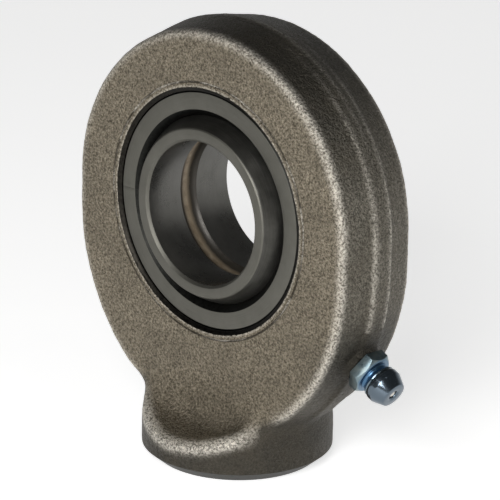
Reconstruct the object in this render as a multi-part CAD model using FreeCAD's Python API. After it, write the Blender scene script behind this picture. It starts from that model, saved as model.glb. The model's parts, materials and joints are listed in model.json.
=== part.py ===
"""Weld-on rod end with a radial spherical plain bearing, a grease nipple and a centring pin.

Millimetres. The origin is the centre of the pin bore, Y is the bore's axis with the front
face towards -Y, +Z is up and the shank's weld face is at the bottom. The nipple is on +X.
"""
import FreeCAD, Part
import math
import os
from FreeCAD import Vector

X_AXIS = Vector(1, 0, 0)
Y_AXIS = Vector(0, 1, 0)
Z_AXIS = Vector(0, 0, 1)
CENTRE = Vector(0, 0, 0)

# Bearing
BORE_R = 12.5
INNER_HALF_WIDTH = 10.0
BALL_R = 17.75
BORE_CHAMFER = 0.45
BALL_EDGE_CHAMFER = 0.15
OUTER_R = 21.0
OUTER_HALF_WIDTH = 8.0
OUTER_CHAMFER = 0.5
RACE_CLEARANCE = 0.05
RACE_MOUTH_R = 17.6
RACE_MOUTH_DEPTH = 1.1
SPLIT_WIDTH = 0.05
PRESS_GAP = 0.01

# Grease ways in the rings
BORE_GROOVE_HALF = 1.95
BORE_GROOVE_DEPTH = 1.0
RACE_GROOVE_HALF = 1.2
RACE_GROOVE_DEPTH = 0.8
OD_GROOVE_HALF = 1.5
OD_GROOVE_DEPTH = 1.0
RING_HOLE_R = 1.25
INNER_HOLES = 2
INNER_TURN = -10
OUTER_HOLES = 2
GREASE_GAP = 0.05

# Forged eye
FACE_Y = 8.5
HEAD_R = 31.2
EDGE_Y = 7.4
DRAFT_RISE = 0.9
STRAIGHT_DROP = 5.8
FLANK_R = 35.1
PLATE_FOOT_Z = -37.5
FACE_EDGE_R = 1.15
FLASH_HALF = 2.1
FLASH_RISE = 1.37
FLASH_SINK = 0.42

# Weld shank
SHANK_R = 16.75
WELD_Z = -45.4
SHANK_TOP_Z = -31.0
WELD_CHAMFER_R = 2.2
WELD_CHAMFER_Z = 1.85
SCOOP_R = 3.9
SCOOP_START_Z = -34.4
SCOOP_FLOOR_SLOPE = math.radians(12.0)
SCOOP_SWEEP_R = 27.0
SCOOP_RIM_R = 2.0

# Staking that holds the bearing
LIP_OUTER_R = 21.5
LIP_INNER_Y = 8.15
BEAD_R = 20.8
BEAD_HIGH_Y = 8.0
BEAD_LOW_Y = 7.75
STAKE_RING_R = 22.4
STAKE_RING_WIDTH = 0.3
STAKE_RING_DEPTH = 0.15

# Grease nipple, with its axis square to the flank
NIPPLE_TILT = math.radians(27.0)
NIPPLE_SEAT = Vector(29.25, 0, -22.25)
SEAT_FLAT_R = 4.6
TAP_R = 3.0
TAP_DEPTH = 7.0
GREASE_DRILL_R = 1.5
HEX_FLATS = 7.0
HEX_TURN = 55.0
SHANK_LENGTH = 5.5
THREAD_R = 2.975
CHAMBER_R = 1.15
CHAMBER_TOP = 6.05
MOUTH_R = 0.75
MOUTH_H = 6.75
TIP_H = 7.2
CRIMP_R = 0.8
CRIMP_LENGTH = 0.4
CHECK_BALL_R = 1.0
CHECK_BALL_H = 6.03
SPRING_WIRE_R = 0.12
SPRING_COIL_R = 0.85
SPRING_TURNS = 10

# Centring pin in the weld face
PIN_R = 2.0
PIN_IN = 7.0
PIN_OUT = 3.0
PIN_CROWN = 0.5
PIN_HOLE_DEPTH = 8.0
PIN_HOLE_SINK = 0.6

OUT = Vector(math.cos(NIPPLE_TILT), 0, -math.sin(NIPPLE_TILT))


def cylinder_y(radius, half_length):
    return Part.makeCylinder(radius, 2 * half_length, Vector(0, -half_length, 0), Y_AXIS)


def spin_about_y(points):
    """Solid of revolution about Y from a closed outline of (radius, y) points."""
    corners = [Vector(radius, y, 0) for radius, y in points]
    face = Part.Face(Part.makePolygon(corners + corners[:1]))
    return face.revolve(CENTRE, Y_AXIS, 360)


def spin_about_nipple(points):
    """Solid of revolution about the nipple's axis from (radius, height over the seat) points."""
    corners = [Vector(radius, 0, height) for radius, height in points]
    face = Part.Face(Part.makePolygon(corners + corners[:1]))
    return on_nipple_axis(face.revolve(CENTRE, Z_AXIS, 360))


def on_nipple_axis(shape):
    """Turn a shape modelled on +Z about Y until it points out of the flank, and seat it."""
    turned = shape.copy()
    turned.rotate(CENTRE, Y_AXIS, 90 + math.degrees(NIPPLE_TILT))
    turned.translate(NIPPLE_SEAT)
    return turned


def inner_ring():
    """Ball-faced ring with a grease groove in its bore and radial holes out to the ball."""
    ball = Part.makeSphere(BALL_R)
    ring = ball.common(cylinder_y(BALL_R + 1, INNER_HALF_WIDTH))
    ring = ring.cut(cylinder_y(BORE_R, INNER_HALF_WIDTH + 1))
    edge_r = math.sqrt(BALL_R**2 - INNER_HALF_WIDTH**2)
    for side in (-1, 1):
        face_y = side * INNER_HALF_WIDTH
        over = side * (INNER_HALF_WIDTH + 1)
        mouth = [(0, over), (BORE_R + BORE_CHAMFER, over), (BORE_R + BORE_CHAMFER, face_y)]
        mouth += [(BORE_R, face_y - side * BORE_CHAMFER), (0, face_y - side * BORE_CHAMFER)]
        ring = ring.cut(spin_about_y(mouth))
        trim = [(edge_r - BALL_EDGE_CHAMFER, face_y), (edge_r - BALL_EDGE_CHAMFER, over)]
        trim += [(edge_r + 1, over), (edge_r + 1, face_y - side * 2 * BALL_EDGE_CHAMFER)]
        trim += [(edge_r + 0.1, face_y - side * 2 * BALL_EDGE_CHAMFER)]
        ring = ring.cut(spin_about_y(trim))
    floor_half = BORE_GROOVE_HALF - 0.7
    groove = [(0, -BORE_GROOVE_HALF), (BORE_R, -BORE_GROOVE_HALF)]
    groove += [(BORE_R + BORE_GROOVE_DEPTH, -floor_half), (BORE_R + BORE_GROOVE_DEPTH, floor_half)]
    groove += [(BORE_R, BORE_GROOVE_HALF), (0, BORE_GROOVE_HALF)]
    ring = ring.cut(spin_about_y(groove))
    ring = ring.cut(radial_drills(INNER_HOLES, BORE_R, BALL_R + 1, 90))
    ring.rotate(CENTRE, Y_AXIS, INNER_TURN)
    return ring


def radial_drills(count, start, end, first_angle):
    """Equal radial holes through a ring, in the plane of its middle."""
    drills = []
    for index in range(count):
        angle = math.radians(first_angle + index * 360 / count)
        way = Vector(math.cos(angle), 0, math.sin(angle))
        drills.append(Part.makeCylinder(RING_HOLE_R, end - start, way * start, way))
    return Part.makeCompound(drills)


def outer_ring():
    """Split outer ring with a spherical race, grease grooves inside and outside and two holes."""
    low = OUTER_HALF_WIDTH - OUTER_CHAMFER
    outside = OUTER_R - PRESS_GAP
    blank = [(15, -OUTER_HALF_WIDTH), (outside - OUTER_CHAMFER, -OUTER_HALF_WIDTH)]
    blank += [(outside, -low), (outside, -OD_GROOVE_HALF)]
    blank += [(outside - OD_GROOVE_DEPTH, -OD_GROOVE_HALF), (outside - OD_GROOVE_DEPTH, OD_GROOVE_HALF)]
    blank += [(outside, OD_GROOVE_HALF), (outside, low)]
    blank += [(outside - OUTER_CHAMFER, OUTER_HALF_WIDTH), (15, OUTER_HALF_WIDTH)]
    ring = spin_about_y(blank).cut(Part.makeSphere(BALL_R + RACE_CLEARANCE))
    ring = ring.cut(race_groove(0))
    for side in (-1, 1):
        mouth_y = side * OUTER_HALF_WIDTH
        deep_y = side * (OUTER_HALF_WIDTH - RACE_MOUTH_DEPTH)
        mouth = [(0, mouth_y + side), (RACE_MOUTH_R, mouth_y + side), (RACE_MOUTH_R, mouth_y)]
        mouth += [(RACE_MOUTH_R - 1.0, deep_y), (0, deep_y)]
        ring = ring.cut(spin_about_y(mouth))
    nipple_side = -math.degrees(NIPPLE_TILT)
    ring = ring.cut(radial_drills(OUTER_HOLES, BALL_R - 1, OUTER_R + 1, nipple_side))
    split = Part.makeBox(SPLIT_WIDTH, 2 * OUTER_HALF_WIDTH + 2, 8, Vector(-SPLIT_WIDTH / 2, -9, 15))
    split.rotate(CENTRE, Y_AXIS, -90)
    return ring.cut(split)


def race_groove(gap):
    """The annular groove round the middle of the race, or what fills it when a gap is given."""
    half = RACE_GROOVE_HALF - gap
    inside = BALL_R + RACE_CLEARANCE - 0.5 if gap == 0 else BALL_R + GREASE_GAP
    outside = BALL_R + RACE_CLEARANCE + RACE_GROOVE_DEPTH - gap
    return spin_about_y([(inside, -half), (outside, -half), (outside, half), (inside, half)])


def grease_fill():
    """Grease packed in the race's groove, which turns with the ball and never tilts."""
    return race_groove(GREASE_GAP)


def outline(offset, sink=0.0):
    """The eye seen from the front: a round head, a short straight side, and a flank curving in."""
    radius = HEAD_R + offset
    flank_r = FLANK_R + offset
    flank_x = FLANK_R - HEAD_R
    foot_x = math.sqrt(flank_r**2 - (PLATE_FOOT_Z + STRAIGHT_DROP) ** 2) - flank_x
    half_way = math.radians(35)
    mid_x = flank_r * math.cos(half_way) - flank_x
    mid_z = -STRAIGHT_DROP - flank_r * math.sin(half_way)
    side = Vector(radius, 0, -sink)
    drop = Vector(radius, 0, -STRAIGHT_DROP)
    middle = Vector(mid_x, 0, mid_z)
    foot = Vector(foot_x, 0, PLATE_FOOT_Z)

    def other(point):
        return Vector(-point.x, 0, point.z)

    edges = [
        Part.Arc(side, Vector(0, 0, radius - sink), other(side)).toShape(),
        Part.LineSegment(other(side), other(drop)).toShape(),
        Part.Arc(other(drop), other(middle), other(foot)).toShape(),
        Part.LineSegment(other(foot), foot).toShape(),
        Part.Arc(foot, middle, drop).toShape(),
        Part.LineSegment(drop, side).toShape(),
    ]
    return Part.Wire(edges)


def moved_to(wire, y):
    placed = wire.copy()
    placed.translate(Vector(0, y, 0))
    return placed


def eye_plate():
    """Head and flanks: two drafted halves meeting at a trimmed flash band."""
    slope = DRAFT_RISE / (EDGE_Y - FLASH_HALF)
    at_face = DRAFT_RISE - slope * (FACE_Y - FLASH_HALF)
    halves = []
    for side in (-1, 1):
        at_middle = moved_to(outline(DRAFT_RISE + slope * FLASH_HALF), 0)
        half = Part.makeLoft([at_middle, moved_to(outline(at_face), side * FACE_Y)], True, True)
        halves.append(half)
    plate = halves[0].fuse(halves[1]).removeSplitter()
    rounded = [edge for edge in plate.Edges if is_face_edge(edge)]
    plate = plate.makeFillet(FACE_EDGE_R, rounded)
    band = Part.Face(moved_to(outline(FLASH_RISE, FLASH_SINK), -FLASH_HALF))
    return plate.fuse(band.extrude(Y_AXIS * (2 * FLASH_HALF)))


def is_face_edge(edge):
    """True for the rim of a flat face, but not for its straight foot inside the shank."""
    box = edge.BoundBox
    on_face = box.YLength < 0.001 and abs(abs(box.YMin) - FACE_Y) < 0.001
    return on_face and box.ZMax > PLATE_FOOT_Z + 0.01


def scoop(side):
    """Concave cut that brings the shank's full round in to the flat face, on the given side."""
    far = 30
    turn = math.radians(90) - SCOOP_FLOOR_SLOPE

    def on_arc(angle):
        out = FACE_Y + SCOOP_R * (1 - math.cos(angle))
        return Vector(0, side * out, SCOOP_START_Z - SCOOP_R * math.sin(angle))

    start, middle, end = on_arc(0), on_arc(turn / 2), on_arc(turn)
    drop = (far - abs(end.y)) * math.tan(SCOOP_FLOOR_SLOPE)
    over = Vector(0, side * far, end.z - drop)
    top = Vector(0, side * far, -20)
    back = Vector(0, side * FACE_Y, -20)
    edges = [Part.Arc(start, middle, end).toShape()]
    for one, two in ((end, over), (over, top), (top, back), (back, start)):
        edges.append(Part.LineSegment(one, two).toShape())
    section = Part.Face(Part.Wire(edges))
    pivot = Vector(0, 0, SCOOP_START_Z + SCOOP_SWEEP_R)
    section.rotate(pivot, Y_AXIS, -45)
    return section.revolve(pivot, Y_AXIS, 90)


def weld_shank():
    """Round shank with a chamfer for the weld and a scooped shoulder front and back."""
    shank = Part.makeCylinder(SHANK_R, SHANK_TOP_Z - WELD_Z, Vector(0, 0, WELD_Z))
    for side in (-1, 1):
        shank = shank.cut(scoop(side))
    rim = [edge for edge in shank.Edges if is_scoop_rim(edge)]
    shank = shank.makeFillet(SCOOP_RIM_R, rim)
    bottom_r = SHANK_R - WELD_CHAMFER_R
    collar = [(bottom_r, WELD_Z), (bottom_r, WELD_Z - 1), (SHANK_R + 1, WELD_Z - 1)]
    collar += [(SHANK_R + 1, WELD_Z + WELD_CHAMFER_Z), (SHANK_R, WELD_Z + WELD_CHAMFER_Z)]
    return shank.cut(spin_about_z(collar))


def spin_about_z(points):
    corners = [Vector(radius, 0, z) for radius, z in points]
    face = Part.Face(Part.makePolygon(corners + corners[:1]))
    return face.revolve(CENTRE, Z_AXIS, 360)


def is_scoop_rim(edge):
    """True for the curved edge where a scoop runs out through the shank's side."""
    box = edge.BoundBox
    middle = edge.valueAt((edge.FirstParameter + edge.LastParameter) / 2)
    on_side = abs(math.hypot(middle.x, middle.y) - SHANK_R) < 0.01
    return on_side and box.ZMin > WELD_Z + 1 and box.ZLength > 0.5 and box.XLength > 3


def bearing_seat():
    """What is taken out for the bearing: the bore, the staked lips and their retaining beads."""
    profile = [(0, -FACE_Y - 1), (LIP_OUTER_R, -FACE_Y - 1), (LIP_OUTER_R, -FACE_Y)]
    for side in (-1, 1):
        half = [
            (OUTER_R, side * LIP_INNER_Y),
            (BEAD_R, side * BEAD_HIGH_Y),
            (BEAD_R, side * BEAD_LOW_Y),
            (OUTER_R, side * (BEAD_LOW_Y - 0.2)),
        ]
        profile += half if side < 0 else half[::-1]
    profile += [(LIP_OUTER_R, FACE_Y), (LIP_OUTER_R, FACE_Y + 1), (0, FACE_Y + 1)]
    return spin_about_y(profile)


def stake_mark(side):
    """Ring pressed into the face by the staking tool."""
    half = STAKE_RING_WIDTH / 2
    face_y = side * FACE_Y
    points = [(STAKE_RING_R - half, face_y + side), (STAKE_RING_R + half, face_y + side)]
    points += [(STAKE_RING_R + half, face_y), (STAKE_RING_R, face_y - side * STAKE_RING_DEPTH)]
    return spin_about_y(points + [(STAKE_RING_R - half, face_y)])


def drilled(radius, depth):
    """Hole down the nipple's axis from the seat."""
    return Part.makeCylinder(radius, depth, NIPPLE_SEAT, OUT * -1)


def grease_drill_length():
    """Distance down the nipple's axis from the seat to the bearing's bore."""
    along = NIPPLE_SEAT.dot(OUT)
    return along - math.sqrt(OUTER_R**2 - NIPPLE_SEAT.Length**2 + along**2)


def housing():
    """Forged eye and weld shank in one piece, machined for the bearing, nipple and pin."""
    body = eye_plate().fuse(weld_shank()).removeSplitter()
    body = body.cut(bearing_seat())
    for side in (-1, 1):
        body = body.cut(stake_mark(side))
    body = body.cut(Part.makeCylinder(SEAT_FLAT_R, 3, NIPPLE_SEAT, OUT))
    body = body.cut(drilled(TAP_R, TAP_DEPTH))
    body = body.cut(drilled(GREASE_DRILL_R, grease_drill_length() + 2))
    pin_hole = Part.makeCylinder(PIN_R, PIN_HOLE_DEPTH, Vector(0, 0, WELD_Z))
    sink = Part.makeCone(PIN_R + PIN_HOLE_SINK, PIN_R, PIN_HOLE_SINK, Vector(0, 0, WELD_Z))
    return body.cut(pin_hole).cut(sink)


def nipple_body():
    """Conical grease nipple: threaded shank, hexagon, neck and head round a valve chamber."""
    shank = [(0, -SHANK_LENGTH), (THREAD_R - 0.5, -SHANK_LENGTH), (THREAD_R, 0.5 - SHANK_LENGTH)]
    shank += [(THREAD_R, 0), (0, 0)]
    head = [(0, 0), (2.65, 0), (2.65, 2.9), (2.95, 3.25), (3.2, 3.8), (3.25, 4.3), (3.25, 5.2)]
    head += [(3.1, 5.6), (2.35, TIP_H - 0.1), (2.2, TIP_H), (0, TIP_H)]
    corner_r = HEX_FLATS / math.sqrt(3)
    corners = []
    for index in range(6):
        angle = math.radians(HEX_TURN + index * 60)
        corners.append(Vector(corner_r * math.sin(angle), corner_r * math.cos(angle), 0))
    hexagon = Part.Face(Part.makePolygon(corners + corners[:1])).extrude(Z_AXIS * 2.2)
    bevel = [(0, 0), (corner_r + 0.1, 0), (corner_r + 0.1, 1.6), (3.45, 2.2), (0, 2.2)]
    hexagon = on_nipple_axis(hexagon).common(spin_about_nipple(bevel))
    body = spin_about_nipple(shank).fuse(hexagon).fuse(spin_about_nipple(head))
    chamber = [(0, -SHANK_LENGTH - 1), (CRIMP_R, -SHANK_LENGTH - 1)]
    chamber += [(CRIMP_R, CRIMP_LENGTH - SHANK_LENGTH), (CHAMBER_R, CRIMP_LENGTH - SHANK_LENGTH)]
    chamber += [(CHAMBER_R, CHAMBER_TOP), (MOUTH_R, MOUTH_H), (MOUTH_R, TIP_H - 0.2)]
    chamber += [(MOUTH_R + 0.25, TIP_H), (MOUTH_R + 0.25, TIP_H + 1), (0, TIP_H + 1)]
    return body.removeSplitter().cut(spin_about_nipple(chamber))


def check_ball():
    return Part.makeSphere(CHECK_BALL_R, NIPPLE_SEAT + OUT * CHECK_BALL_H)


def check_spring():
    """Coil spring between the crimp at the thread's end and the check ball."""
    foot = CRIMP_LENGTH - SHANK_LENGTH + SPRING_WIRE_R + 0.05
    top = CHECK_BALL_H - CHECK_BALL_R * 0.6 - SPRING_WIRE_R - 0.1
    height = top - foot
    path = Part.makeHelix(height / SPRING_TURNS, height, SPRING_COIL_R)
    ring = Part.makeCircle(SPRING_WIRE_R, Vector(SPRING_COIL_R, 0, 0), Y_AXIS)
    coil = Part.Wire(path).makePipeShell([Part.Wire(ring)], True, True)
    coil.translate(Vector(0, 0, foot))
    return on_nipple_axis(coil)


def centring_pin():
    """Dowel pressed into the weld face, which locates the shank before it is welded."""
    top = WELD_Z + PIN_IN
    foot = WELD_Z - PIN_OUT
    half = PIN_R - PIN_CROWN
    points = [(0, foot), (half, foot), (PIN_R - PRESS_GAP, foot + PIN_CROWN)]
    points += [(PIN_R - PRESS_GAP, top - PIN_CROWN), (half, top), (0, top)]
    return spin_about_z(points)


PIECES = {
    "housing": housing,
    "outer_ring": outer_ring,
    "inner_ring": inner_ring,
    "race_grease": grease_fill,
    "nipple_body": nipple_body,
    "nipple_check_ball": check_ball,
    "nipple_spring": check_spring,
    "centring_pin": centring_pin,
}

os.makedirs("parts", exist_ok=True)
for name, make in PIECES.items():
    shape = make()
    if len(shape.Solids) == 1:
        shape = shape.Solids[0]
    shape.exportStep("parts/" + name + ".step")
    print(name, "valid", shape.isValid(), "solids", len(shape.Solids), "mm3", round(shape.Volume, 2))
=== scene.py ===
# %% [markdown]
# # A weld-on rod end, modelled by hand around its CAD frame
#
# A rod end is the eye on the end of a hydraulic cylinder's rod. The eye is a drop
# forging, so its skin is rough and its corners are round. A plain spherical
# bearing sits in the eye, and its parts are ground, so their corners are crisp.
# The lesson keeps those two worlds apart: the forging is remeshed and softened,
# and everything that a machine cut is spun as a clean profile.

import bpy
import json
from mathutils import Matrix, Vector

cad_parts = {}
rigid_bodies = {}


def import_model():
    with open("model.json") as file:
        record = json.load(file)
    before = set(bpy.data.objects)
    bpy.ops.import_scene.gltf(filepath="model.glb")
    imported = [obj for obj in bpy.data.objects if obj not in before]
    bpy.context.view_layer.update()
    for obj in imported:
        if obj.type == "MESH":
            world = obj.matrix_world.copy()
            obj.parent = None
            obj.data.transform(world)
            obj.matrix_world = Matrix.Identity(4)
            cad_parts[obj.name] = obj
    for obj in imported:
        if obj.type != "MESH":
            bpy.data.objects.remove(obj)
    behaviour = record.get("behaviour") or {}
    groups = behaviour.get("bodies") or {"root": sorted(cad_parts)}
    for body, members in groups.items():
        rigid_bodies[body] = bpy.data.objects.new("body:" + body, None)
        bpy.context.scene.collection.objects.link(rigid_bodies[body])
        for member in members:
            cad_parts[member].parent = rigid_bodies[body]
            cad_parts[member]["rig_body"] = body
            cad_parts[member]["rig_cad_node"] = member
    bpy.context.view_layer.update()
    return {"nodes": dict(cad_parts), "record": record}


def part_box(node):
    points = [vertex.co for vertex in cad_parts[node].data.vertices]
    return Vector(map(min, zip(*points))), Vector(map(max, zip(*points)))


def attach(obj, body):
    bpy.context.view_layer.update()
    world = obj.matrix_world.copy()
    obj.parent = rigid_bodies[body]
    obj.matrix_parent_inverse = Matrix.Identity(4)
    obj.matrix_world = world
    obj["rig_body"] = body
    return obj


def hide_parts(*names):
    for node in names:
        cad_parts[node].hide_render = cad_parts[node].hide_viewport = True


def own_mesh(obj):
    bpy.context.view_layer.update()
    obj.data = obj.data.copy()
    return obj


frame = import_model()

import json
import math

import bpy
from mathutils import Matrix, Vector

MM = 0.001
nodes = frame["nodes"]
print("pieces in the frame:", sorted(nodes))

# %% [markdown]
# Sizes come from the frame wherever it can be asked. A node's box gives the ring
# widths, and its mounts give the bore, the weld face and the nipple's place, so a
# change in the design moves the looks too. The nipple's mount is where a coupling
# grips its head, which is 4.7 mm out from its seat.

# %% Read the driving sizes
housing_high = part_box("housing")[1]
outer_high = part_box("outer_ring")[1]
inner_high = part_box("inner_ring")[1]
pin_low, pin_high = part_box("centring_pin")
mounts = {mount["name"]: mount for mount in frame["record"]["mounts"]}

weld_z = mounts["weld_face"]["pos_m"][2]
bore_r = mounts["pin_bore"]["dims"]["r_mm"] * MM
outer_r = outer_high.z
outer_half = outer_high.y
inner_half = inner_high.y
ball_r = inner_high.z
shank_r = housing_high.y
nipple_way = Vector(mounts["grease_fitting"]["axis"])
nipple_angle = math.atan2(nipple_way.z, nipple_way.x)
GRIP_HIGH_MM = 4.7
SEAT = Vector(mounts["grease_fitting"]["pos_m"]) - nipple_way * GRIP_HIGH_MM * MM
PRESS_GAP = 0.01 * MM
print("bore", bore_r, "bearing", outer_r, "ball", ball_r, "shank", shank_r)

# %% [markdown]
# Blender's operators work on whatever is selected, so each step first makes sure
# that only one object is. These few helpers do the handling that a mouse would.

# %% Handling helpers


def only(piece):
    """Select one object alone and make it active."""
    bpy.ops.object.select_all(action="DESELECT")
    piece.select_set(True)
    bpy.context.view_layer.objects.active = piece


def edit(piece):
    only(piece)
    bpy.ops.object.mode_set(mode="EDIT")
    bpy.ops.mesh.select_all(action="SELECT")


def leave_edit():
    bpy.ops.object.mode_set(mode="OBJECT")


def named(name):
    piece = bpy.context.active_object
    piece.name = name
    piece.data.name = name
    return piece


def settle(piece):
    """Put a piece's place, turn and size into its mesh."""
    only(piece)
    bpy.ops.object.transform_apply(location=True, rotation=True, scale=True)


def apply_modifier(piece, kind, **settings):
    """Add one modifier, set it up and apply it."""
    only(piece)
    modifier = piece.modifiers.new(kind.title(), kind)
    for key, value in settings.items():
        setattr(modifier, key, value)
    bpy.ops.object.modifier_apply(modifier=modifier.name)


def cut(piece, tool):
    """Boolean cut, after which the tool is thrown away."""
    apply_modifier(piece, "BOOLEAN", operation="DIFFERENCE", object=tool, solver="EXACT")
    bpy.data.objects.remove(tool)


def join_into(piece, others):
    """Put other meshes into one piece, each still a closed shell of its own."""
    bpy.ops.object.select_all(action="DESELECT")
    for mesh in others + [piece]:
        mesh.select_set(True)
    bpy.context.view_layer.objects.active = piece
    bpy.ops.object.join()


def copy_of(piece, name):
    twin = piece.copy()
    twin.data = piece.data.copy()
    twin.parent = None
    twin.name = name
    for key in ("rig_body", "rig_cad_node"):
        if key in twin:
            del twin[key]
    bpy.context.scene.collection.objects.link(twin)
    return twin


print("helpers ready")

# %% [markdown]
# Turned parts are all made the same way on a lathe: a profile spun about an axis.
# In Blender the profile starts as one vertex, which is extruded from point to
# point, and Spin then carries it round. A profile that runs from axis to axis makes
# a full solid, and one that closes on itself away from the axis makes a ring.

# %% The lathe
TURNS = 160


def profile_line(points):
    """Extrude a lone vertex through (radius, height) points, as a thin line in the XZ plane."""
    bpy.ops.object.select_all(action="DESELECT")
    bpy.ops.mesh.primitive_plane_add(size=MM, location=(0, 0, 0))
    bpy.ops.object.mode_set(mode="EDIT")
    bpy.ops.mesh.select_all(action="SELECT")
    bpy.ops.mesh.merge(type="CENTER")
    last = Vector((points[0][0], 0, points[0][1]))
    bpy.ops.transform.translate(value=last)
    for radius, height in points[1:]:
        here = Vector((radius, 0, height))
        bpy.ops.mesh.extrude_region_move(TRANSFORM_OT_translate={"value": here - last})
        last = here


def lathe(name, points, steps=TURNS):
    """Spin a profile about Z. One that starts on the axis ends there, and any other ends where it began."""
    on_axis = points[0][0] == 0
    profile_line(points if on_axis else points + [points[0]])
    bpy.ops.mesh.select_all(action="SELECT")
    bpy.ops.mesh.spin(steps=steps, angle=2 * math.pi, center=(0, 0, 0), axis=(0, 0, 1))
    bpy.ops.mesh.select_all(action="SELECT")
    bpy.ops.mesh.remove_doubles(threshold=1e-7)
    bpy.ops.mesh.normals_make_consistent(inside=False)
    leave_edit()
    return named(name)


def stand_on_y(piece):
    """Lay a part that was spun about Z along the bore's axis, Y."""
    piece.rotation_euler = (math.radians(90), 0, 0)
    settle(piece)
    return piece


def soften(piece, width, segments=2, angle=25, sharp=30):
    """Break the hard edges, and shade the rest smooth."""
    apply_modifier(piece, "BEVEL", width=width, segments=segments, limit_method="ANGLE",
                   angle_limit=math.radians(angle), harden_normals=False)
    only(piece)
    bpy.ops.object.shade_smooth_by_angle(angle=math.radians(sharp))
    return piece


def arc(centre, radius, start, end, count):
    """Points on an arc of a profile, angles in degrees from the radius direction."""
    points = []
    for index in range(count + 1):
        angle = math.radians(start + (end - start) * index / count)
        points.append((centre[0] + radius * math.cos(angle), centre[1] + radius * math.sin(angle)))
    return points


print("lathe ready, steps per turn:", TURNS)

# %% [markdown]
# ## The forging
#
# The forged eye is one lump of steel. The CAD solid has its true shape but its
# corners are as sharp as a drawing's. A voxel remesh turns it into an even skin
# of small squares, and a skin like that can be relaxed, which rounds corners and
# fills inside corners in the way that metal fills a die.

# %% Remesh a copy of the forging
FACE_HALF = 8.5 * MM
SKIN = 0.40 * MM
MACHINING_STOCK = 1.2 * MM


def rod(name, start, end, radius, vertices=96):
    """A solid cylinder from one place to another."""
    way = end - start
    bpy.ops.object.select_all(action="DESELECT")
    bpy.ops.mesh.primitive_cylinder_add(vertices=vertices, radius=radius, depth=way.length)
    piece = named(name)
    turn = way.to_track_quat("Z", "Y").to_matrix().to_4x4()
    piece.matrix_world = Matrix.Translation((start + end) / 2) @ turn
    settle(piece)
    return piece


def forging_blank():
    """Copy the CAD eye, fill what is machined into it, and wrap all of it in one even skin."""
    blank = copy_of(nodes["housing"], "forged_eye")
    edit(blank)
    bpy.ops.mesh.remove_doubles(threshold=1e-7)
    leave_edit()
    face = Vector((0, FACE_HALF, 0))
    weld = Vector((0, 0, weld_z))
    up = Vector((0, 0, 1))
    fillings = [
        rod("seat_filling", -face, face, outer_r + 1.8 * MM),
        rod("tap_filling", SEAT - nipple_way * 8 * MM, SEAT, 3.6 * MM),
        rod("foot_stock", weld - up * MACHINING_STOCK, weld + up * 3 * MM, shank_r, vertices=192),
        rod("pin_filling", weld, weld + up * 9 * MM, 4 * MM),
    ]
    join_into(blank, fillings)
    apply_modifier(blank, "REMESH", mode="VOXEL", voxel_size=SKIN, adaptivity=0)
    return blank


eye = forging_blank()
print("skin faces:", len(eye.data.polygons))

# %% [markdown]
# A forging has round corners everywhere, and the roundest are the inside ones,
# where the flanks run down into the shank. Smooth moves each vertex to the middle
# of its neighbours, so repeating it rounds a corner by an amount that grows with
# the repeats. A vertex group keeps the long smoothing to the necks and the scoops.

# %% Relax the skin
NECK_Z = -35.2 * MM
NECK_REACH = 4.2 * MM
SHOULDER_REACH = 6.2 * MM


def fade(distance, reach):
    """1 at no distance, easing to 0 at reach."""
    left = max(0.0, 1.0 - distance / reach)
    return left * left * (3 - 2 * left)


def neck_weight(spot):
    """How near a spot is to the ring where the flanks and faces run into the shank."""
    radius = math.hypot(spot.x, spot.y)
    if abs(spot.y) > 7.6 * MM:
        return 0.0
    return fade(math.hypot(radius - shank_r, spot.z - NECK_Z), NECK_REACH)


def shoulder_weight(spot):
    """How near a spot is to the four corners where a scoop's rim meets a flank's edge."""
    corner = Vector((14.3 * MM, 9.0 * MM, -34.9 * MM))
    return fade((Vector((abs(spot.x), abs(spot.y), spot.z)) - corner).length, SHOULDER_REACH)


def paint_group(piece, name, weight_at):
    group = piece.vertex_groups.new(name=name)
    painted = 0
    for vertex in piece.data.vertices:
        weight = weight_at(vertex.co)
        if weight > 0.01:
            group.add([vertex.index], weight, "REPLACE")
            painted += 1
    print(name, "vertices:", painted)


paint_group(eye, "neck", neck_weight)
paint_group(eye, "shoulder", shoulder_weight)
apply_modifier(eye, "SMOOTH", factor=0.5, iterations=50, vertex_group="neck")
apply_modifier(eye, "SMOOTH", factor=0.5, iterations=110, vertex_group="shoulder")
apply_modifier(eye, "SMOOTH", factor=0.5, iterations=4)

# %% [markdown]
# Shot and handling rub the corners of a forging bright, and the same corners also
# carry a painted highlight. The corners are found from the mesh itself: on a corner,
# the neighbours of a vertex lie behind it. How far behind they lie, less what the
# shank's own roundness gives, is stored on each vertex now, while the skin is still
# smooth. The forging's finish reads it later as pale wear with a painted highlight.
# Nothing is painted pale close round the nipple. The trimmed flash on the sides gets
# less, and none at all down at the neck. The scoops' rims get the most: a painted
# highlight along each rim.

# %% Measure the corners
WEAR_AND_HIGHLIGHT_SPREAD = 2
WEAR_AND_HIGHLIGHT_GAIN = 12.5
SHANK_ROUNDNESS = 0.008
CLEAR_OF_NIPPLE = 7.5 * MM
FLANK_HALF = 6.5 * MM


def ramp(value, low, high):
    """0 up to low, 1 from high on, and straight between. High may be below low."""
    return max(0.0, min(1.0, (value - low) / (high - low)))


def wear_and_highlight_share(spot):
    """How much pale wear and painted highlight a corner at this spot gets: none near the nipple, most on a
    scoop's rim.
    """
    if (spot - SEAT).length < CLEAR_OF_NIPPLE:
        return 0.0
    if abs(spot.y) < FLANK_HALF:
        return 0.8 * ramp(spot.z, -28 * MM, -18 * MM)
    return 1.0 + 1.2 * ramp(spot.z, -33.5 * MM, -37.5 * MM)


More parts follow.
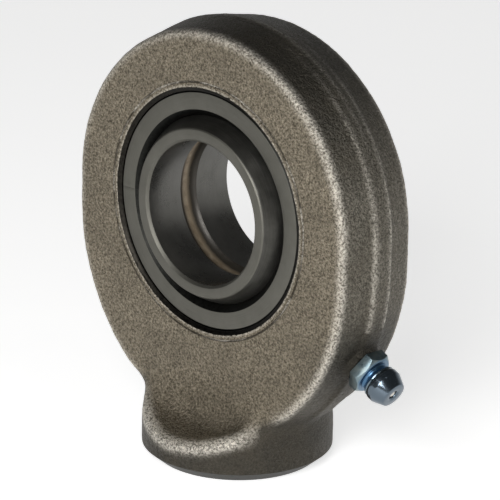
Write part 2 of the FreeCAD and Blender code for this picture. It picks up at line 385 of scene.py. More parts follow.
def store_corner_wear_and_highlight(piece, name):
    """Store on each vertex how proud of its neighbours it stands, spread a little."""
    mesh = piece.data
    near = [[] for _ in mesh.vertices]
    for edge in mesh.edges:
        one, two = edge.vertices
        near[one].append(two)
        near[two].append(one)
    proud = []
    for vertex in mesh.vertices:
        steps = [vertex.co - mesh.vertices[other].co for other in near[vertex.index]]
        raised = sum(vertex.normal.dot(step.normalized()) for step in steps) / len(steps)
        proud.append(max(0.0, raised - SHANK_ROUNDNESS))
    for _ in range(WEAR_AND_HIGHLIGHT_SPREAD):
        proud = [(value + sum(proud[other] for other in near[index])) / (1 + len(near[index]))
                 for index, value in enumerate(proud)]
    proud = [value * wear_and_highlight_share(vertex.co) for value, vertex in zip(proud, mesh.vertices)]
    wear = mesh.attributes.new(name, "FLOAT", "POINT")
    wear.data.foreach_set("value", [max(0.0, min(1.0, value * WEAR_AND_HIGHLIGHT_GAIN)) for value in proud])
    print("highest corner before the gain:", round(max(proud), 3))


store_corner_wear_and_highlight(eye, "corner_wear_and_highlight")

# %% [markdown]
# Scale, shot and die wear leave a forging gently uneven. Displace lifts the skin
# along its normals by a noise texture: a broad one for the swell of the metal,
# and a fine one for the dents of the shot.

# %% Uneven skin


def unevenness(piece, name, size, strength):
    """Lift and sink the skin by a cloud pattern of the given size, in metres."""
    clouds = bpy.data.textures.new(name, "CLOUDS")
    clouds.noise_scale = size
    clouds.noise_depth = 2
    apply_modifier(piece, "DISPLACE", texture=clouds, texture_coords="LOCAL",
                   strength=strength, mid_level=0.5)


unevenness(eye, "swell", 7 * MM, 0.16 * MM)
unevenness(eye, "shot_dents", 1.3 * MM, 0.13 * MM)
print("skin is uneven")

# %% [markdown]
# Now the machine shop. The bearing seat, the staked lips, the tapped hole, the
# weld chamfer and the pin's hole are cut with spun tools, so their edges stay
# crisp in the soft forging. Cutting last is also what the real shop does.

# %% Cut the machined features
LIP_R = outer_r + 0.5 * MM
BEAD_R = outer_r - 0.2 * MM
STAKE_R = 22.4 * MM
STAKE_DEEP = 0.14 * MM
CHAMFER_R = 2.2 * MM
CHAMFER_Z = 1.85 * MM
TAP_R = 3.0 * MM
DRILL_R = 1.5 * MM
SPOT_FACE_R = 4.6 * MM
PIN_HOLE_R = 2.0 * MM


def seat_tool():
    """Bore for the bearing, with a bead near each face that holds the ring in."""
    half = [(LIP_R, -10 * MM), (LIP_R, -FACE_HALF), (outer_r + 0.12 * MM, -8.2 * MM), (outer_r, -8.08 * MM)]
    half += [(BEAD_R, -8.0 * MM), (BEAD_R, -7.75 * MM), (outer_r + PRESS_GAP, -7.55 * MM)]
    other = [(radius, -height) for radius, height in reversed(half)]
    return stand_on_y(lathe("seat_tool", [(0, -10 * MM)] + half + other + [(0, 10 * MM)]))


def stake_tool(side):
    """Shallow rounded groove that the staking punch leaves in a face."""
    face = -side * FACE_HALF
    deep = side * STAKE_DEEP
    half = [(0.22 * MM, face - deep), (0.2 * MM, face), (0.08 * MM, face + deep)]
    points = [(STAKE_R - out, height) for out, height in half]
    points += [(STAKE_R + out, height) for out, height in reversed(half)]
    return stand_on_y(lathe("stake_tool", points))


def facing_tool():
    """Takes the stock off the weld face and turns the chamfer that the weld will fill."""
    past = 0.3 * MM
    high = weld_z + CHAMFER_Z + past * CHAMFER_Z / CHAMFER_R
    points = [(0, weld_z), (shank_r - CHAMFER_R, weld_z), (shank_r + past, high), (shank_r + 4 * MM, high)]
    points += [(shank_r + 4 * MM, weld_z - 4 * MM), (0, weld_z - 4 * MM)]
    return lathe("facing_tool", points)


def grease_way_tool():
    """Spot face, tapped hole and grease drilling, down to the bearing's seat."""
    drop = SEAT.dot(nipple_way) - outer_r + 2 * MM
    points = [(0, 4 * MM), (SPOT_FACE_R, 4 * MM), (SPOT_FACE_R, 0), (TAP_R + 0.3 * MM, 0), (TAP_R, -0.3 * MM)]
    points += [(TAP_R, -7 * MM), (DRILL_R, -7.9 * MM), (DRILL_R, -drop), (0, -drop)]
    return seat_nipple(lathe("grease_way_tool", points, steps=96))


def pin_hole_tool():
    mouth_r = PIN_HOLE_R + 0.6 * MM
    points = [(0, weld_z - 1 * MM), (mouth_r, weld_z - 1 * MM), (mouth_r, weld_z)]
    points += [(PIN_HOLE_R, weld_z + 0.6 * MM), (PIN_HOLE_R, weld_z + 8 * MM), (0, weld_z + 8 * MM)]
    return lathe("pin_hole_tool", points, steps=64)


def seat_nipple(piece):
    """Turn an upright piece about Y until it points out of the flank, and seat it there."""
    turn = Matrix.Rotation(math.pi / 2 - nipple_angle, 4, "Y")
    piece.matrix_world = Matrix.Translation(SEAT) @ turn
    settle(piece)
    return piece


cut(eye, seat_tool())
for side in (-1, 1):
    cut(eye, stake_tool(side))
for tool in (facing_tool(), grease_way_tool(), pin_hole_tool()):
    cut(eye, tool)
print("faces after machining:", len(eye.data.polygons))

# %% [markdown]
# ## The bearing rings
#
# Both rings are turned and ground, so they are spun. The ball's profile is an arc,
# and the race's is the same arc a hair larger. The bore's grease groove is round in
# section, and its floor is what catches the light inside the dark bore.

# %% Inner ring
BALL_EDGE_R = math.sqrt(ball_r ** 2 - inner_half ** 2)
GROOVE_HALF = 1.95 * MM
GROOVE_DEEP = 1.0 * MM
BORE_EDGE = 0.45 * MM
HOLE_R = 1.25 * MM


def radial_hole_tool(angle, start, end):
    """A drill for one grease hole, pointing out of the bore at an angle above +X."""
    way = Vector((math.cos(angle), 0, math.sin(angle)))
    return rod("grease_hole_drill", way * start, way * end, HOLE_R, vertices=48)


def groove_arc():
    """Section of the bore's grease groove, from its back edge to its front edge."""
    section_r = (GROOVE_HALF ** 2 + GROOVE_DEEP ** 2) / (2 * GROOVE_DEEP)
    tilt = math.degrees(math.asin(GROOVE_HALF / section_r))
    return arc((bore_r + GROOVE_DEEP - section_r, 0), section_r, tilt, -tilt, 14)


def inner_ring_profile():
    tilt = math.degrees(math.asin(inner_half / ball_r))
    points = [(bore_r + BORE_EDGE, -inner_half), (BALL_EDGE_R - 0.12 * MM, -inner_half)]
    points += arc((0, 0), ball_r, -tilt + 0.7, tilt - 0.7, 72)
    points += [(BALL_EDGE_R - 0.12 * MM, inner_half), (bore_r + BORE_EDGE, inner_half)]
    points += [(bore_r, inner_half - BORE_EDGE)] + groove_arc() + [(bore_r, BORE_EDGE - inner_half)]
    return points


ball_ring = stand_on_y(lathe("ground_ball_ring", inner_ring_profile()))
for hole_angle in (100, 280):
    cut(ball_ring, radial_hole_tool(math.radians(hole_angle), bore_r - 1 * MM, ball_r + 1 * MM))
soften(ball_ring, 0.06 * MM, sharp=24)
print("inner ring faces:", len(ball_ring.data.polygons))

# %% Outer ring
RACE_R = ball_r + 0.05 * MM
MOUTH_R = 17.6 * MM
OUTER_EDGE = 0.5 * MM
RACE_GROOVE_HALF = 1.2 * MM
RACE_GROOVE_DEEP = 0.8 * MM
SPLIT = 0.02 * MM


def outer_ring_profile():
    """Race, relieved mouths, chamfers and the groove round the outside, as one closed outline."""
    back = outer_r - PRESS_GAP
    mouth_tilt = math.degrees(math.asin(6.9 * MM / RACE_R))
    groove_tilt = math.degrees(math.asin(RACE_GROOVE_HALF / RACE_R))
    lower = [(MOUTH_R, -outer_half), (back - OUTER_EDGE, -outer_half), (back, OUTER_EDGE - outer_half)]
    lower += [(back, -1.5 * MM), (back - 1 * MM, -1.5 * MM)]
    upper = [(radius, -height) for radius, height in reversed(lower)]
    race = arc((0, 0), RACE_R, mouth_tilt, groove_tilt, 24)
    groove = [(RACE_R + RACE_GROOVE_DEEP, RACE_GROOVE_HALF), (RACE_R + RACE_GROOVE_DEEP, -RACE_GROOVE_HALF)]
    return lower + upper + race + groove + [(radius, -height) for radius, height in reversed(race)]


def split_tool():
    """Thin slab that parts the ring at the one place where it was cracked open for the ball."""
    bpy.ops.object.select_all(action="DESELECT")
    bpy.ops.mesh.primitive_cube_add(size=1, location=(-19 * MM, 0, 0))
    slab = bpy.context.active_object
    slab.scale = (8 * MM, 3 * outer_half, SPLIT)
    settle(slab)
    return slab


race_ring = stand_on_y(lathe("ground_race_ring", outer_ring_profile()))
for hole_angle in (nipple_angle, nipple_angle + math.pi):
    cut(race_ring, radial_hole_tool(hole_angle, ball_r - 0.5 * MM, outer_r + 1 * MM))
cut(race_ring, split_tool())
soften(race_ring, 0.03 * MM, sharp=24)
print("outer ring faces:", len(race_ring.data.polygons))

# %% [markdown]
# ## The grease nipple
#
# The nipple is modelled upright on Z with its seat at nothing, then turned to its
# place. Its head and neck are spun. The hexagon starts as a six-sided cylinder, and
# a spun cone bites its corners, which leaves the curved chamfers of a real one. It
# sits round the turned part as a shell of its own, which needs no union.

# %% Nipple body
HEX_FLATS = 7.0 * MM
HEX_HIGH = 2.2 * MM
HEX_TURN = 55
THREAD_R = 2.95 * MM
ROOT_R = 2.6 * MM
TIP = 7.2 * MM


def hexagon():
    """Six flats with cone-cut corners, hollow where the turned part passes through."""
    bpy.ops.object.select_all(action="DESELECT")
    bpy.ops.mesh.primitive_cylinder_add(vertices=6, radius=HEX_FLATS / math.sqrt(3), depth=HEX_HIGH,
                                        location=(0, 0, HEX_HIGH / 2),
                                        rotation=(0, 0, math.radians(HEX_TURN)))
    nut = named("nipple_hexagon")
    settle(nut)
    corner_r = HEX_FLATS / math.sqrt(3) + 0.11 * MM
    cone = lathe("hexagon_cone", [(2 * MM, -1 * MM), (corner_r, -1 * MM), (corner_r, 1.35 * MM),
                                  (2.9 * MM, 2.6 * MM), (2 * MM, 2.6 * MM)])
    apply_modifier(nut, "BOOLEAN", operation="INTERSECT", object=cone, solver="EXACT")
    bpy.data.objects.remove(cone)
    return nut


def nipple_turned():
    """Threaded shank, neck and head round the valve chamber, as one closed outline."""
    outside = [(1.0 * MM, -5.5 * MM), (2.5 * MM, -5.5 * MM), (THREAD_R, -5.0 * MM)]
    for turn in range(4):
        root = (-4.6 + turn) * MM
        outside += [(ROOT_R, root - 0.1 * MM), (THREAD_R, root + 0.35 * MM), (THREAD_R, root + 0.45 * MM)]
    outside += [(ROOT_R, -0.5 * MM), (ROOT_R, HEX_HIGH - 0.25 * MM), (2.74 * MM, HEX_HIGH + 0.04 * MM)]
    outside += arc((3.1 * MM, 2.74 * MM), 0.52 * MM, 228, 130, 6)
    outside += [(2.95 * MM, 3.2 * MM), (3.12 * MM, 3.5 * MM)]
    outside += arc((2.2 * MM, 4.35 * MM), 1.05 * MM, -38, 14, 6)
    outside += [(3.25 * MM, 5.1 * MM), (3.19 * MM, 5.3 * MM), (2.42 * MM, TIP - 0.22 * MM)]
    outside += [(2.32 * MM, TIP - 0.05 * MM), (2.2 * MM, TIP)]
    inside = [(1.08 * MM, TIP), (0.8 * MM, TIP - 0.2 * MM), (0.75 * MM, 6.75 * MM), (1.15 * MM, 6.05 * MM)]
    inside += [(1.15 * MM, -5.1 * MM), (0.8 * MM, -5.2 * MM), (0.8 * MM, -5.5 * MM)]
    return lathe("zinc_grease_nipple", outside + inside, steps=96)


nipple = nipple_turned()
join_into(nipple, [hexagon()])
soften(nipple, 0.05 * MM, sharp=35)
seat_nipple(nipple)
print("nipple faces:", len(nipple.data.polygons))

# %% [markdown]
# The check ball is polished, and its spring is one wire, a round section that the
# Screw modifier carries up a helix.

# %% Check ball and spring
BALL_HIGH = 6.03 * MM
COIL_R = 0.85 * MM
WIRE_R = 0.12 * MM
COIL_TURNS = 10
COIL_FOOT = -4.93 * MM
COIL_TOP = 5.2 * MM

bpy.ops.object.select_all(action="DESELECT")
bpy.ops.mesh.primitive_ico_sphere_add(subdivisions=5, radius=1.0 * MM, location=(0, 0, BALL_HIGH))
check_ball = named("polished_check_ball")
settle(check_ball)
bpy.ops.object.shade_smooth()
seat_nipple(check_ball)


def coil_spring():
    """A closed wire section, carried up a helix by the Screw modifier."""
    bpy.ops.object.select_all(action="DESELECT")
    bpy.ops.mesh.primitive_circle_add(vertices=10, radius=WIRE_R, fill_type="NOTHING",
                                      location=(COIL_R, 0, 0), rotation=(math.pi / 2, 0, 0))
    wire = named("valve_spring_coil")
    settle(wire)
    pitch = (COIL_TOP - COIL_FOOT) / COIL_TURNS
    apply_modifier(wire, "SCREW", angle=2 * math.pi, screw_offset=pitch, iterations=COIL_TURNS,
                   steps=28, render_steps=28, use_merge_vertices=False)
    edit(wire)
    bpy.ops.transform.translate(value=(0, 0, COIL_FOOT))
    bpy.ops.mesh.select_all(action="DESELECT")
    bpy.ops.mesh.select_non_manifold()
    bpy.ops.mesh.fill_holes(sides=12)
    bpy.ops.mesh.select_all(action="SELECT")
    bpy.ops.mesh.normals_make_consistent(inside=False)
    leave_edit()
    only(wire)
    bpy.ops.object.shade_smooth()
    return seat_nipple(wire)


spring = coil_spring()
print("spring faces:", len(spring.data.polygons))

# %% [markdown]
# The dowel in the weld face is hidden once the rod end stands up, but it is what
# centres it for welding. Its ends are crowned so that it starts into its hole.

# %% Centring pin
pin_r = pin_high.x
crown = arc((pin_r - 0.6 * MM, pin_high.z - 0.6 * MM), 0.6 * MM, 0, 70, 6)
foot = [(radius, pin_low.z + pin_high.z - height) for radius, height in reversed(crown)]
dowel = lathe("ground_centring_dowel", [(0, pin_low.z)] + foot + crown + [(0, pin_high.z)], steps=64)
only(dowel)
bpy.ops.object.shade_smooth_by_angle(angle=math.radians(30))
print("dowel length:", round((pin_high.z - pin_low.z) / MM, 2), "mm")

# %% [markdown]
# ## Finishes
#
# A metal's look is mostly its roughness, and a rough metal's is mostly its bumps.
# Every pattern here reads Object coordinates, which on these pieces are simply
# metres from the middle of the bore, so a noise scale is one over the size of a
# grain. These helpers keep the node building short enough to read.

# %% Node helpers


def map_range(tree, socket, low, high, to_low, to_high):
    """Map one range of a value to another, straight and clamped at both ends."""
    node = tree.nodes.new("ShaderNodeMapRange")
    tree.links.new(socket, node.inputs["Value"])
    for key, number in (("From Min", low), ("From Max", high), ("To Min", to_low), ("To Max", to_high)):
        node.inputs[key].default_value = number
    return node.outputs["Result"]


class Finish:
    """A material being built, with its nodes added one call at a time."""

    def __init__(self, name):
        self.material = bpy.data.materials.new(name)
        self.material.use_nodes = True
        self.tree = self.material.node_tree
        self.shader = self.tree.nodes["Principled BSDF"]
        self.place = self.tree.nodes.new("ShaderNodeTexCoord").outputs["Object"]

    def put(self, socket, value):
        """Give a socket a link if the value is another socket, and a setting if not."""
        if isinstance(value, bpy.types.NodeSocket):
            self.tree.links.new(value, socket)
        else:
            socket.default_value = value

    def surface(self, **values):
        for key, value in values.items():
            self.put(self.shader.inputs[key.replace("_", " ")], value)

    def noise(self, grain, detail=3.0, roughness=0.6, place=None, distortion=0.0):
        """Noise from about 0.3 to 0.7, whose lumps are about grain metres across."""
        node = self.tree.nodes.new("ShaderNodeTexNoise")
        self.put(node.inputs["Vector"], place or self.place)
        node.inputs["Scale"].default_value = 1.0 / grain
        node.inputs["Detail"].default_value = detail
        node.inputs["Roughness"].default_value = roughness
        node.inputs["Distortion"].default_value = distortion
        return node.outputs["Fac"]

    def remap(self, socket, low, high, to_low=0.0, to_high=1.0):
        return map_range(self.tree, socket, low, high, to_low, to_high)

    def maths(self, kind, one, two=0.0):
        node = self.tree.nodes.new("ShaderNodeMath")
        node.operation = kind
        self.put(node.inputs[0], one)
        self.put(node.inputs[1], two)
        return node.outputs["Value"]

    def times(self, one, two):
        return self.maths("MULTIPLY", one, two)

    def mix(self, amount, one, two):
        node = self.tree.nodes.new("ShaderNodeMix")
        node.data_type = "RGBA"
        self.put(node.inputs["Factor"], amount)
        self.put(node.inputs["A"], one)
        self.put(node.inputs["B"], two)
        return node.outputs["Result"]

    def distance(self, one, two):
        """Length of the hypotenuse over two coordinates."""
        squares = self.maths("ADD", self.times(one, one), self.times(two, two))
        return self.maths("SQRT", squares)

    def axes(self):
        node = self.tree.nodes.new("ShaderNodeSeparateXYZ")
        self.put(node.inputs["Vector"], self.place)
        return node.outputs["X"], node.outputs["Y"], node.outputs["Z"]

    def away_from(self, spot):
        """Distance from one fixed point."""
        node = self.tree.nodes.new("ShaderNodeVectorMath")
        node.operation = "DISTANCE"
        self.put(node.inputs[0], self.place)
        node.inputs[1].default_value = spot
        return node.outputs["Value"]

    def about_bore(self, radial, along, around):
        """Coordinates for turned marks: radius, place along the bore, and a little of the angle."""
        x, y, z = self.axes()
        angle = self.maths("ARCTAN2", z, x)
        node = self.tree.nodes.new("ShaderNodeCombineXYZ")
        self.put(node.inputs["X"], self.times(self.distance(x, z), radial))
        self.put(node.inputs["Y"], self.times(y, along))
        self.put(node.inputs["Z"], self.times(angle, around))
        return node.outputs["Vector"]

    def measured(self, name):
        """A value that was stored on the piece's own vertices."""
        node = self.tree.nodes.new("ShaderNodeAttribute")
        node.attribute_name = name
        return node.outputs["Fac"]

    def bump(self, height, strength, distance, under=None):
        node = self.tree.nodes.new("ShaderNodeBump")
        node.inputs["Strength"].default_value = strength
        node.inputs["Distance"].default_value = distance
        self.put(node.inputs["Height"], height)
        if under:
            self.put(node.inputs["Normal"], under)
        return node.outputs["Normal"]


def paint(red, green, blue):
    return (red, green, blue, 1.0)


print("finish helpers ready")

# %% [markdown]
# The forging was shot-blasted and then oiled, so it is a rough, dark metal that
# shines only where a grain faces the light. Its flat faces were coined and are
# paler, and its sides keep more of their scale. The sides are also painted darker
# towards the bottom, and painted shade lies on the top of the eye, round the nipple
# and in the staking groove. The pale rim of the staked hole and the rubbed corners,
# which also carry a painted highlight, are broken up by the grain.

# %% Forged skin


def coined_mask(skin):
    """1 on the coined faces and in the scoops, and 0 on the sides and the shank."""
    x, y, z = skin.axes()
    on_eye = skin.remap(z, -35 * MM, -33 * MM)
    on_face = skin.remap(skin.maths("ABSOLUTE", y), 7.9 * MM, 8.4 * MM)
    in_scoop = skin.remap(skin.distance(x, y), shank_r - 0.1 * MM, shank_r - 0.8 * MM)
    below = skin.maths("SUBTRACT", 1.0, on_eye)
    return skin.maths("ADD", skin.times(on_eye, on_face), skin.times(below, in_scoop))


def forged_tone(skin, grain):
    """The metal before anything rubbed it: coined, clouded, darker towards the bottom, with painted shade on
    the top of the eye and round the nipple.
    """
    z = skin.axes()[2]
    speckle = skin.remap(grain, 0.36, 0.64)
    face_tone = skin.mix(speckle, paint(0.078, 0.065, 0.044), paint(0.345, 0.300, 0.226))
    side_tone = skin.mix(speckle, paint(0.062, 0.056, 0.044), paint(0.235, 0.216, 0.178))
    # painted shade on the top of the eye, and the sides painted darker towards the bottom and down the shank
    top_shade_and_dark_bottom = skin.maths("MAXIMUM", skin.remap(z, -8 * MM, -36 * MM), skin.remap(z, 8 * MM, 26 * MM))
    side_tone = skin.mix(skin.times(top_shade_and_dark_bottom, 0.82), side_tone, paint(0.034, 0.031, 0.025))
    tone = skin.mix(coined_mask(skin), side_tone, face_tone)
    cloud = skin.noise(8 * MM, detail=3)
    tone = skin.mix(skin.remap(cloud, 0.35, 0.68, 0.0, 0.35), tone, paint(0.10, 0.085, 0.062))
    # painted shade round the nipple's seat, darkest next to the hexagon
    nipple_shade = skin.remap(skin.away_from(tuple(SEAT)), 12 * MM, 4.6 * MM, 0.0, 0.8)
    return skin.mix(nipple_shade, tone, paint(0.022, 0.020, 0.016))


def marked_tone(skin, tone, grain):
    """Adds painted shade in the staking groove, the pale lip inside it, and the rubbed corners with their
    painted highlight.
    """
    x, y, z = skin.axes()
    depth = skin.maths("ABSOLUTE", y)
    radius = skin.distance(x, z)
    off_ring = skin.maths("ABSOLUTE", skin.maths("SUBTRACT", radius, STAKE_R))
    near_ring = skin.remap(off_ring, 0.28 * MM, 0.10 * MM)
    # painted shade in the staking groove
    stake_groove_shade = skin.times(near_ring, skin.remap(depth, 8.2 * MM, 8.3 * MM, 0.0, 0.85))
    tone = skin.mix(stake_groove_shade, tone, paint(0.045, 0.038, 0.028))
    lip = skin.times(skin.remap(radius, 21.95 * MM, 21.7 * MM), skin.remap(depth, 8.2 * MM, 8.35 * MM))
    # pale rubbed corners, partly real wear and partly a painted highlight, strongest on the scoops' rims
    wear_and_highlight = skin.maths("MAXIMUM", skin.measured("corner_wear_and_highlight"), skin.times(lip, 0.35))
    wear_and_highlight = skin.times(wear_and_highlight, skin.remap(grain, 0.40, 0.58, 0.2, 1.0))
    return skin.mix(wear_and_highlight, tone, paint(0.80, 0.75, 0.66))


def forged_skin():
    skin = Finish("shot_blasted_forging")
    grain = skin.noise(0.40 * MM, detail=3, roughness=0.75)
    crinkle = skin.noise(1.1 * MM, detail=3, roughness=0.6, distortion=1.2)
    fine = skin.bump(grain, 0.95, 0.30 * MM)
    skin.surface(Base_Color=marked_tone(skin, forged_tone(skin, grain), grain), Metallic=0.85,
                 Roughness=skin.remap(grain, 0.3, 0.7, 0.60, 0.43),
                 Normal=skin.bump(crinkle, 0.6, 0.55 * MM, under=fine))
    return skin.material


print("forged skin ready")

# %% [markdown]
# The rings are hardened, ground and darkened by phosphating. Grinding leaves
# hair-fine lines that run round the axis, so the noise is fed radius and angle in
# place of X, Y and Z. The ball is lapped, so it is smoother and nearly black.

# %% Ground and lapped steel


def ground_ring_steel(name, tone_low, tone_high, rough_low, rough_high, line_depth):
    steel = Finish(name)
    lines = steel.noise(1.0, detail=2, place=steel.about_bore(9000, 9000, 3.0))
    cloud = steel.noise(5 * MM, detail=4, roughness=0.65)
    tone = steel.mix(steel.remap(cloud, 0.35, 0.65), tone_low, tone_high)
    tone = steel.mix(steel.remap(lines, 0.35, 0.65, 0.0, 0.07), tone, paint(0.3, 0.29, 0.27))
    steel.surface(Base_Color=tone, Metallic=0.85,
                  Roughness=steel.remap(cloud, 0.3, 0.7, rough_low, rough_high),
                  Normal=steel.bump(lines, 0.25, line_depth))
    return steel.material


def groove_stain_and_shade():
    """The bore's grease groove: dried preservative oil on its floor, tan with a ragged edge, and painted
    shade on its walls towards both edges.
    """
    stain_and_shade = Finish("oil_stained_shaded_groove")
    cloud = stain_and_shade.noise(1.6 * MM, detail=4)
    tone = stain_and_shade.mix(stain_and_shade.remap(cloud, 0.35, 0.65), paint(0.19, 0.145, 0.095), paint(0.36, 0.295, 0.21))
    depth = stain_and_shade.maths("ABSOLUTE", stain_and_shade.axes()[1])
    ragged = stain_and_shade.maths("ADD", depth, stain_and_shade.times(cloud, 0.8 * MM))
    # painted shade darkens the groove towards both of its edges
    tone = stain_and_shade.mix(stain_and_shade.remap(ragged, 0.75 * MM, 1.5 * MM), tone, paint(0.030, 0.026, 0.020))
    stain_and_shade.surface(Base_Color=tone, Metallic=0.4, Roughness=stain_and_shade.remap(cloud, 0.3, 0.7, 0.3, 0.5),
                  Normal=stain_and_shade.bump(cloud, 0.2, 0.05 * MM))
    return stain_and_shade.material


print("ground steel ready")


# %% [markdown]
# Zinc plate with a blue passivate shifts between steel and blue with its thickness,
# so a slow noise mixes the two. The nipple's head is hardened and polished.

# %% Plated and polished finishes


def along_nipple(finish):
    """How far out along the nipple's axis a point lies, in metres from the seat."""
    x, _, z = finish.axes()
    out = finish.maths("ADD", finish.times(x, nipple_way.x), finish.times(z, nipple_way.z))
    return finish.maths("SUBTRACT", out, SEAT.dot(nipple_way))


def blue_zinc():
    zinc = Finish("blue_passivated_zinc")
    cloud = zinc.noise(1.6 * MM, detail=4, roughness=0.65)
    grain = zinc.noise(0.25 * MM, detail=3)
    high = along_nipple(zinc)
    neck = zinc.times(zinc.remap(high, 1.9 * MM, 2.3 * MM), zinc.remap(high, 3.7 * MM, 3.2 * MM))
    tone = zinc.mix(zinc.remap(cloud, 0.38, 0.62), paint(0.155, 0.215, 0.245), paint(0.245, 0.30, 0.305))
    tone = zinc.mix(neck, tone, paint(0.075, 0.155, 0.26))
    head = zinc.remap(high, 3.2 * MM, 3.9 * MM)
    tone = zinc.mix(head, tone, paint(0.115, 0.145, 0.175))
    rough = zinc.mix(head, zinc.remap(cloud, 0.3, 0.7, 0.26, 0.40), zinc.remap(cloud, 0.3, 0.7, 0.13, 0.22))
    zinc.surface(Base_Color=tone, Metallic=0.95, Roughness=rough, Normal=zinc.bump(grain, 0.12, 0.03 * MM))
    return zinc.material


def plain_steel(name, tone_low, tone_high, rough_low, rough_high, grain_size):
    steel = Finish(name)
    grain = steel.noise(grain_size, detail=3)
    steel.surface(Base_Color=steel.mix(steel.remap(grain, 0.35, 0.65), tone_low, tone_high), Metallic=1.0,
                  Roughness=steel.remap(grain, 0.3, 0.7, rough_low, rough_high),
                  Normal=steel.bump(grain, 0.15, 0.02 * MM))
    return steel.material


def amber_grease():
    grease = Finish("amber_grease")
    cloud = grease.noise(1.2 * MM, detail=4)
    grease.surface(Base_Color=grease.mix(cloud, paint(0.30, 0.17, 0.05), paint(0.52, 0.36, 0.14)),
                   Roughness=grease.remap(cloud, 0.3, 0.7, 0.25, 0.45), Subsurface_Weight=0.2,
                   Normal=grease.bump(cloud, 0.4, 0.1 * MM))
    return grease.material


print("plated and polished finishes ready")


# %% Dress the pieces
FINISHES = {
    "forged": forged_skin(),
    "ring": ground_ring_steel(
        "ground_ring_steel", paint(0.102, 0.099, 0.084), paint(0.128, 0.124, 0.107), 0.46, 0.56, 0.012 * MM),
    "ball": ground_ring_steel(
        "lapped_ball_steel", paint(0.044, 0.043, 0.038), paint(0.070, 0.068, 0.060), 0.30, 0.40, 0.004 * MM),
    "bore": ground_ring_steel(
        "honed_bore_steel", paint(0.10, 0.098, 0.090), paint(0.128, 0.125, 0.115), 0.24, 0.34, 0.004 * MM),
    "turned": ground_ring_steel(
        "turned_weld_steel", paint(0.024, 0.0235, 0.020), paint(0.042, 0.041, 0.036), 0.5, 0.6, 0.02 * MM),
    "stain_and_shade": groove_stain_and_shade(),
    "zinc": blue_zinc(),
    # near-black race steel: painted shade on the race and its mouths, in the gap between the outer ring and
    # the ball
    "race": plain_steel(
        "shaded_race_steel", paint(0.012, 0.012, 0.011), paint(0.022, 0.022, 0.02), 0.4, 0.5, 0.6 * MM),
    # near-black steel: painted shade inside the bearing seat, the tapped hole and the pin hole
    "seat_shade": plain_steel(
        "shaded_seat_steel", paint(0.010, 0.009, 0.008), paint(0.026, 0.024, 0.020), 0.35, 0.5, 0.5 * MM),
    "polished": plain_steel(
        "polished_ball_steel", paint(0.55, 0.52, 0.46), paint(0.66, 0.63, 0.58), 0.08, 0.14, 0.5 * MM),
    "wire": plain_steel(
        "spring_wire_steel", paint(0.30, 0.29, 0.28), paint(0.42, 0.41, 0.39), 0.25, 0.35, 0.2 * MM),
}


def dress(piece, keys, finish_at=None):
    """Give a piece its finishes. With more than one, the rule names a face's finish from its middle."""
    piece.data.materials.clear()
    for key in keys:
        piece.data.materials.append(FINISHES[key])
    for face in piece.data.polygons:
        face.material_index = keys.index(finish_at(face.center)) if finish_at else 0


def bore_distance(spot):
    return math.hypot(spot.x, spot.z)


def inner_ring_finish(middle):
    radius = bore_distance(middle)
    if abs(middle.y) > inner_half - 1.1 * BORE_EDGE and radius < BALL_EDGE_R:
        return "ring"
    if bore_r + 0.02 * MM < radius < bore_r + 1.02 * GROOVE_DEEP and abs(middle.y) < GROOVE_HALF:
        return "stain_and_shade"
    return "ball" if math.hypot(radius, middle.y) > ball_r - 0.05 * MM else "bore"


def outer_ring_finish(middle):
    # the faces inside the outer ring take the near-black race steel, painted shade
    return "ring" if abs(middle.y) > outer_half - 0.02 * MM else "race"


def forging_finish(middle):
    """Painted shade, a near-black steel, inside the bearing seat, the grease way and the pin hole; turned at
    the weld face, forged elsewhere.
    """
    from_shank_axis = math.hypot(middle.x, middle.y)
    chamfer_r = shank_r - CHAMFER_R + (middle.z - weld_z) * CHAMFER_R / CHAMFER_Z
    on_chamfer = middle.z < weld_z + CHAMFER_Z + 0.1 * MM and abs(from_shank_axis - chamfer_r) < 0.05 * MM
    if on_chamfer or middle.z < weld_z + 0.01 * MM:
        return "turned"
    from_nipple = middle - SEAT - nipple_way * (middle - SEAT).dot(nipple_way)
    in_tap = from_nipple.length < 3.4 * MM and middle.x > 0 and bore_distance(middle) < 38 * MM
    in_seat = bore_distance(middle) < LIP_R + 0.02 * MM and abs(middle.y) < FACE_HALF + 0.05 * MM
    in_pin_hole = from_shank_axis < 2.7 * MM and middle.z < weld_z + 9 * MM
    return "seat_shade" if in_seat or in_tap or in_pin_hole else "forged"


dress(eye, ["forged", "seat_shade", "turned"], forging_finish)
dress(ball_ring, ["ring", "ball", "bore", "stain_and_shade"], inner_ring_finish)
dress(race_ring, ["ring", "race"], outer_ring_finish)
dress(nipple, ["zinc"])
dress(check_ball, ["polished"])
dress(spring, ["wire"])
dress(dowel, ["wire"])
nodes["race_grease"].material_slots[0].material = amber_grease()
only(eye)
bpy.ops.object.shade_smooth_by_angle(angle=math.radians(40))
print("pieces dressed")

# %% [markdown]
# ## Fit the looks to the moving design
#
# Each piece rides on the body that its CAD part belongs to, and that CAD part is hidden.

# %% Ride and replace
FITTED = (
    (eye, "eye", "housing", "forged_steel"),
    (race_ring, "eye", "outer_ring", "bearing_steel"),
    (ball_ring, "ball_ring", "inner_ring", "bearing_steel"),
    (nipple, "eye", "nipple_body", "zinc_plate"),
    (check_ball, "valve", "nipple_check_ball", "polished_steel"),
    (spring, "eye", "nipple_spring", "spring_steel"),
    (dowel, "eye", "centring_pin", "spring_steel"),
)
for piece, body, node, slot in FITTED:
    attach(piece, body)
    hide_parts(node)

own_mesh(spring)
print("pieces fitted:", len(FITTED))

# %% [markdown]
# ## Floor, light and camera
#
# The rod end stands on its weld face on a pale table, which has a hole for the
# dowel, as a welding fixture has. The light is a plain studio's: one soft panel in
# front, a small weak one high at the side, and a dark room with a bright backdrop
# low down behind the table.

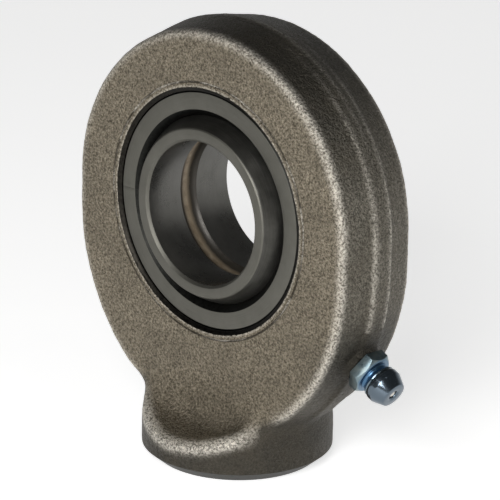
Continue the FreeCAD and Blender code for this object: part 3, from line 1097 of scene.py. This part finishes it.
# %% Table
bpy.ops.object.select_all(action="DESELECT")
bpy.ops.mesh.primitive_circle_add(vertices=96, radius=3 * MM, location=(0, 0, weld_z), fill_type="NOTHING")
table = named("pale_table")
settle(table)
edit(table)
for reach in (40.0, 25.0):
    bpy.ops.mesh.extrude_region_move()
    bpy.ops.transform.resize(value=(reach, reach, 1))
leave_edit()
table_top = Finish("pale_table_top")
table_tone = table_top.noise(60 * MM, detail=2)
table_top.surface(Base_Color=table_top.mix(table_tone, paint(0.86, 0.86, 0.855), paint(0.90, 0.90, 0.895)),
                  Roughness=0.6, Emission_Color=paint(1, 1, 1), Emission_Strength=0.66)
table.data.materials.append(table_top.material)
print("table at", weld_z)

# %% Room and panels


def room_light():
    """A dark room with a bright backdrop low behind the table, as in a product studio."""
    room = bpy.data.worlds.new("studio_room")
    room.use_nodes = True
    tree = room.node_tree
    place = tree.nodes.new("ShaderNodeTexCoord").outputs["Generated"]
    split = tree.nodes.new("ShaderNodeSeparateXYZ")
    tree.links.new(place, split.inputs["Vector"])

    low_down = map_range(tree, split.outputs["Z"], 0.10, 0.45, 1.0, 0.0)
    behind = map_range(tree, split.outputs["Y"], -0.1, 0.6, 0.22, 1.0)
    both = tree.nodes.new("ShaderNodeMath")
    both.operation = "MULTIPLY"
    tree.links.new(low_down, both.inputs[0])
    tree.links.new(behind, both.inputs[1])
    strength = map_range(tree, both.outputs["Value"], 0.0, 1.0, 0.06, 0.75)
    tree.links.new(strength, tree.nodes["Background"].inputs["Strength"])
    tree.nodes["Background"].inputs["Color"].default_value = paint(1, 1, 0.99)
    bpy.context.scene.world = room


def panel(name, way, distance, size, watts):
    """A soft panel that far off in the given direction, turned to face the rod end."""
    way = Vector(way).normalized()
    bpy.ops.object.light_add(type="AREA", location=way * distance)
    lamp = bpy.context.active_object
    lamp.name = name
    lamp.data.shape = "RECTANGLE"
    lamp.data.size = lamp.data.size_y = size
    lamp.data.energy = watts
    lamp.rotation_euler = way.to_track_quat("Z", "Y").to_euler()


room_light()
panel("front_panel", (0.44, -0.81, 0.40), 0.5, 0.22, 2.05)
panel("high_panel", (0.53, -0.13, 0.84), 0.9, 0.12, 0.16)
bpy.context.scene.view_settings.view_transform = "Standard"
print("lit")

# %% Camera
TURN, RISE, ROLL = math.radians(43.4), math.radians(18.6), math.radians(0.82)
AIM = Vector((3.1, -0.7, -7.8)) * MM
DISTANCE = 484.6 * MM
LENS = 204.2


def stand_camera():
    """Look at the aim point from the front right and a little above, with a slight roll."""
    back = Vector((math.sin(TURN) * math.cos(RISE), -math.cos(TURN) * math.cos(RISE), math.sin(RISE)))
    bpy.ops.object.camera_add()
    camera = bpy.context.active_object
    look = back.to_track_quat("Z", "Y").to_matrix().to_4x4() @ Matrix.Rotation(ROLL, 4, "Z")
    camera.matrix_world = Matrix.Translation(AIM + back * DISTANCE) @ look
    camera.data.lens = LENS
    camera.data.clip_start = 0.01
    bpy.context.scene.camera = camera
    return camera


camera = stand_camera()
print("camera", [round(value, 4) for value in camera.matrix_world.translation])
